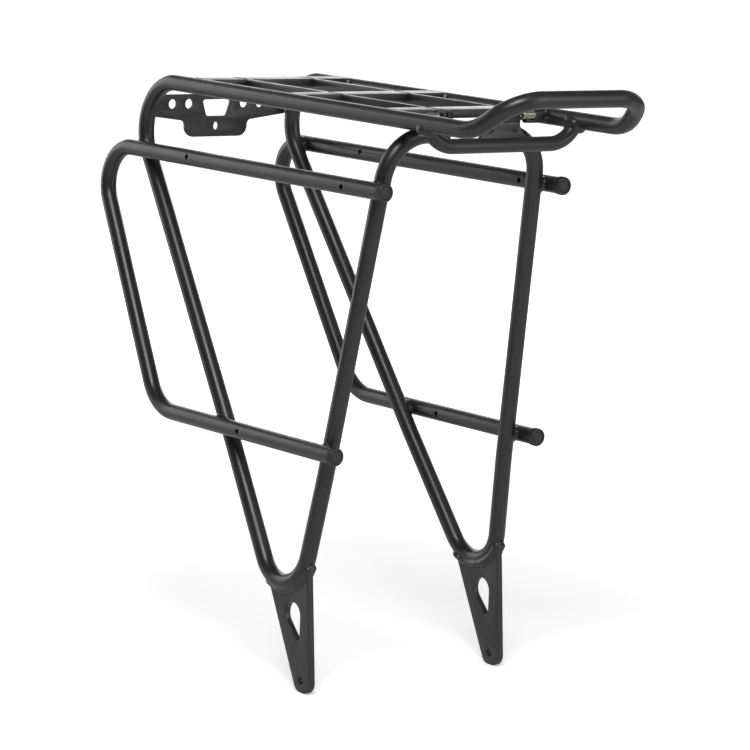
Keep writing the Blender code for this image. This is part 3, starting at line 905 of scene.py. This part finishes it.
def stay_plate():
    """The drilled plate between the front bends."""
    corners = [(0, STAY_BOTTOM), (28.6, STAY_BOTTOM), (28.6, 371.0), (STAY_HALF, 375.6),
               (STAY_HALF, STAY_TOP), (0, STAY_TOP)]
    mirrored = [(-y, z) for y, z in reversed(corners[1:-1])]
    loop = corners[:-1] + mirrored
    radii = [0, 8, 4, 1, 5, 5, 1, 4, 8]
    edge = [(p.x, p.y) for p in rounded([(y, z, 0) for y, z in loop], radii, closed=True)]
    window = rounded([(-13.4, 387.2, 0), (-9.2, 374.5, 0), (9.2, 374.5, 0), (13.4, 387.2, 0)],
                     [2, 2, 2, 2], closed=True)
    eye = [(2.5 * math.cos(turn * math.pi / 12), 366.8 + 3.3 * math.sin(turn * math.pi / 12))
           for turn in range(24)]
    outlines = [edge, [(p.x, p.y) for p in window], eye]
    for y in STAY_HOLES_Y:
        outlines.append(circle((y, STAY_HOLES_Z), STAY_HOLE, 32))
        outlines.append(circle((-y, STAY_HOLES_Z), STAY_HOLE, 32))
    mesh = plate("stay", outlines, STAY_THICK, cross_place(STAY_X), 0.45)
    coated_piece("stay_plate", mesh)


def cross_bar(word):
    """A channel bar across the deck with rounded shoulders."""
    x = BAR_X[word]
    half = BAR_WIDTH / 2
    low = DECK_TOP - BAR_HEIGHT
    inner = DECK_TOP - BAR_WALL
    section = [(-half, low), (-half + BAR_WALL, low), (-half + BAR_WALL, inner),
               (half - BAR_WALL, inner), (half - BAR_WALL, low), (half, low),
               (half, DECK_TOP), (-half, DECK_TOP)]
    length = 2 * (RAIL_Y - BAR_INSET)
    mesh = prism("bar", section, length, facing((1, 0, 0), (0, 0, 1), (x, 0, 0)))
    mesh = bevelled(mesh, 0.7)
    coated_piece(word + "_cross_bar", mesh)


def slat(side, word):
    """A flat bar on edge that crosses the three cross bars."""
    front = BAR_X["front"] + BAR_WIDTH / 2 - GAP
    rear = BAR_X["rear"] - BAR_WIDTH / 2 + GAP
    y = side * SLAT_Y
    half = SLAT_WIDTH / 2
    mesh = box("slat", (rear, y - half, DECK_TOP - SLAT_HEIGHT), (front, y + half, DECK_TOP))
    mesh = bevelled(mesh, 0.5)
    coated_piece(word + "_slat", mesh)


def slat_lug(side, word):
    """The drilled and slit lug behind the rear cross bar, over a rear leg's end."""
    y = side * SLAT_Y
    back = BAR_X["rear"] - BAR_WIDTH / 2 - GAP
    shelf = DECK_TOP - BAR_HEIGHT - GAP
    low = REAR_TOP_Z + 4.5
    rear = back - LUG_DEPTH
    outline = [(rear, low), (rear, DECK_TOP - 0.4), (back, DECK_TOP - 0.4),
               (back, shelf), (back + LUG_SHELF, shelf), (back + LUG_SHELF, low)]
    mesh = bevelled(prism("lug", outline, LUG_WIDTH, side_place(y)), 0.5)
    hole = Vector((0, y + side * 3.6, DECK_TOP - 3.6))
    drill = rod(hole + Vector((rear - 3, 0, 0)), hole + Vector((back - GAP, 0, 0)), LUG_HOLE)
    middle = y - side * 1.6
    slit = box("slit", (rear - 3, middle - 0.8, shelf + 0.8),
               (back - GAP, middle + 0.8, DECK_TOP - 1.9))
    mesh = cut_mesh(mesh, [drill, slit])
    coated_piece(word + "_slat_lug", mesh)


def clip_bracket(side, word):
    """A small angle behind the rear cross bar."""
    low = DECK_TOP - 9.9
    top = DECK_TOP - 2.2
    corners = [(40.0, low), (56.5, low), (56.5, top), (48.0, top), (48.0, low + 2.2),
               (40.0, low + 2.2)]
    x = BAR_X["rear"] - BAR_WIDTH / 2 - GAP - BRACKET_DEPTH / 2
    outline = [(side * y, z) for y, z in corners]
    mesh = bevelled(prism("bracket", outline, BRACKET_DEPTH, cross_place(x)), EDGE_ROUND)
    coated_piece(word + "_clip_bracket", mesh)


def clip_barrel(side, word):
    """The bright barrel in a clip bracket, with chamfered ends and a bore."""
    outer = BARREL_RADIUS
    long = BARREL_LENGTH
    bore = BARREL_BORE
    profile = [(2.0, bore), (0.3, bore), (0.0, bore + 0.3), (0.0, outer - 0.35),
               (0.35, outer), (long - 0.35, outer), (long, outer - 0.35),
               (long, bore + 0.3), (long - 0.3, bore), (long - 2.4, bore)]
    x = BAR_X["rear"] - BAR_WIDTH / 2 - GAP - outer
    origin = Vector((x, side * 37.3, DECK_TOP - 4.4)) * MM
    turn = Matrix.Rotation(side * math.pi / 2, 4, "Z")
    mesh = turned("barrel", profile, Matrix.Translation(origin) @ turn, 32)
    name = word + "_clip_barrel"
    finish_piece("visual_" + name, mesh, BARREL_STEEL, [name])


def tail_light_plate():
    """The upright plate on the cross tube."""
    low = CROSS_Z + CROSS_TUBE / 2
    corners = [(-20.2, low - 2), (20.2, low - 2), (20.2, low), (15.2, low + 6.5),
               (13.2, low + 9.4), (-13.2, low + 9.4), (-15.2, low + 6.5), (-20.2, low)]
    edge = rounded([(y, z, 0) for y, z in corners], [0, 0, 1, 2, 1, 1, 2, 1], closed=True)
    outlines = [[(p.x, p.y) for p in edge]]
    for y in (-TAIL_HOLE_Y, TAIL_HOLE_Y):
        outlines.append(circle((y, low + TAIL_HOLE_RISE), TAIL_HOLE, 24))
    mesh = plate("tail", outlines, TAIL_THICK, cross_place(CROSS_X), 0.4)
    coated_piece("tail_light_plate", mesh)


def nearest_pair(first, second, guess):
    """Middle of the closest approach of two paths near a point."""
    best = None
    one = clip_path(first, guess, 30)
    two = clip_path(second, guess, 30)
    for a in one:
        for b in two:
            gap = (a - b).length
            if best is None or gap < best[0]:
                best = (gap, (a + b) / 2)
    return best[1]


def foot_root(side):
    """The upper end of a foot plate, where it runs into the tube."""
    front = (47.4, 72.0)
    rear = (-2.0, 85.6)
    outline = [(-4.6, 60.0), (41.2, 60.0), front] + foot_crown(front, rear) + [rear]
    return outline, side * FOOT_Y, FOOT_THICK


def welds(main):
    """Fillets at every joint of the rack."""
    half = len(main) // 2
    legs = {1: main[:half + 1], -1: main[half - 1:]}
    tube_radius = TUBE / 2
    for side, word in ((1, "left"), (-1, "right")):
        course = legs[side]
        ring = hoop_path(side)
        for label, z, line in (("upper_front", HOOP_TOP_Z, front_leg_point),
                               ("upper_rear", HOOP_TOP_Z, rear_leg_point),
                               ("lower_front", HOOP_LOW_END[1], front_leg_point),
                               ("lower_rear", HOOP_LOW_END[1], rear_leg_point)):
            middle = nearest_pair(course, ring, line(z - 1.0, side))
            weld(word + "_" + label + "_weld", [(course, tube_radius), (ring, tube_radius)],
                 [], middle, 24)
        base = foot_bend_middle()
        weld(word + "_foot_weld", [(course, tube_radius)], [],
             (base.x, side * FOOT_Y, base.y - FOOT_BEND - 1.0), 38, FOOT_BEAD,
             slab=foot_root(side))
        bar = cross_tube_path()
        weld(word + "_cross_tube_weld", [(course, tube_radius), (bar, CROSS_TUBE / 2)], [],
             (CROSS_X, side * (RAIL_Y - 1), RAIL_Z - 5), 24)
        for bar_word, x in BAR_X.items():
            tip = side * (RAIL_Y - BAR_INSET)
            low = (x - BAR_WIDTH / 2, min(0, tip), DECK_TOP - BAR_HEIGHT)
            high = (x + BAR_WIDTH / 2, max(0, tip), DECK_TOP)
            weld(word + "_" + bar_word + "_bar_weld", [(course, tube_radius)], [(low, high)],
                 (x, side * (RAIL_Y - 4), RAIL_Z + 1), 22, BAR_BEAD, BAR_ROUNDS)


def studio():
    """Pale floor, soft white surroundings and four soft boxes."""
    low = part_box("left_foot_plate")[0].z
    work = bmesh.new()
    bmesh.ops.create_grid(work, x_segments=2, y_segments=2, size=FLOOR_HALF)
    mesh = bpy.data.meshes.new("studio_floor")
    work.to_mesh(mesh)
    work.free()
    floor = bpy.data.objects.new("studio_floor", mesh)
    floor.location = (0, 0, low)
    bpy.context.scene.collection.objects.link(floor)
    mesh.materials.append(floor_material())

    world = bpy.data.worlds.new("studio")
    bpy.context.scene.world = world
    world.use_nodes = True
    tree = world.node_tree
    shade = tree.nodes["Background"]
    shade.inputs["Color"].default_value = (1, 1, 1, 1)
    shade.inputs["Strength"].default_value = SURROUND
    seen = node(tree, "ShaderNodeBackground", Strength=1.1)
    path = node(tree, "ShaderNodeLightPath")
    mix = node(tree, "ShaderNodeMixShader")
    tree.links.new(path.outputs["Is Camera Ray"], mix.inputs[0])
    tree.links.new(shade.outputs[0], mix.inputs[1])
    tree.links.new(seen.outputs[0], mix.inputs[2])
    tree.links.new(mix.outputs[0], tree.nodes["World Output"].inputs["Surface"])

    for name, spot, width, height, power in SOFTBOXES:
        light = bpy.data.lights.new(name, "AREA")
        light.shape = "RECTANGLE"
        light.size = width
        light.size_y = height
        light.energy = power
        item = bpy.data.objects.new(name, light)
        bpy.context.scene.collection.objects.link(item)
        item.location = spot
        aim = Vector(AIM) * MM - Vector(spot)
        item.rotation_euler = aim.to_track_quat("-Z", "Y").to_euler()


def camera():
    """A long lens to the rear left, a little above the deck and slightly rolled."""
    flat = math.cos(CAMERA_ELEVATION)
    back = Vector((math.sin(CAMERA_AZIMUTH) * flat, -math.cos(CAMERA_AZIMUTH) * flat,
                   math.sin(CAMERA_ELEVATION)))
    level = Vector((0, 0, 1)).cross(back).normalized()
    over = back.cross(level)
    right = level * math.cos(CAMERA_ROLL) + over * math.sin(CAMERA_ROLL)
    up = over * math.cos(CAMERA_ROLL) - level * math.sin(CAMERA_ROLL)
    lens = bpy.data.cameras.new("camera")
    lens.sensor_width = 36.0
    lens.lens = CAMERA_LENS
    lens.shift_x = -CAMERA_SHIFT
    lens.shift_y = CAMERA_SHIFT
    lens.clip_end = 50.0
    item = bpy.data.objects.new("camera", lens)
    bpy.context.scene.collection.objects.link(item)
    spot = Vector(CAMERA_SPOT) * MM
    turn = Matrix((right, up, back)).transposed().to_4x4()
    item.matrix_world = Matrix.Translation(spot) @ turn
    bpy.context.scene.camera = item


def build():
    """Make every visible piece."""
    main = main_tube()
    for side, word in ((1, "left"), (-1, "right")):
        hoop(side, word)
        end_cap(word + "_upper_end_cap", hoop_point(HOOP_TOP_END_X, HOOP_TOP_Z, side))
        end_cap(word + "_lower_end_cap", hoop_point(HOOP_LOW_END[0], HOOP_LOW_END[1], side))
        foot_plate(side, word)
        slat(side, word)
        slat_lug(side, word)
        clip_bracket(side, word)
        clip_barrel(side, word)
    mesh = tube("cross", cross_tube_path(), CROSS_TUBE / 2)
    coated_piece("rear_cross_tube", mesh, TUBE_COAT)
    stay_plate()
    tail_light_plate()
    for word in BAR_X:
        cross_bar(word)
    welds(main)


build()
studio()
camera()
bpy.context.scene.view_settings.view_transform = "Standard"
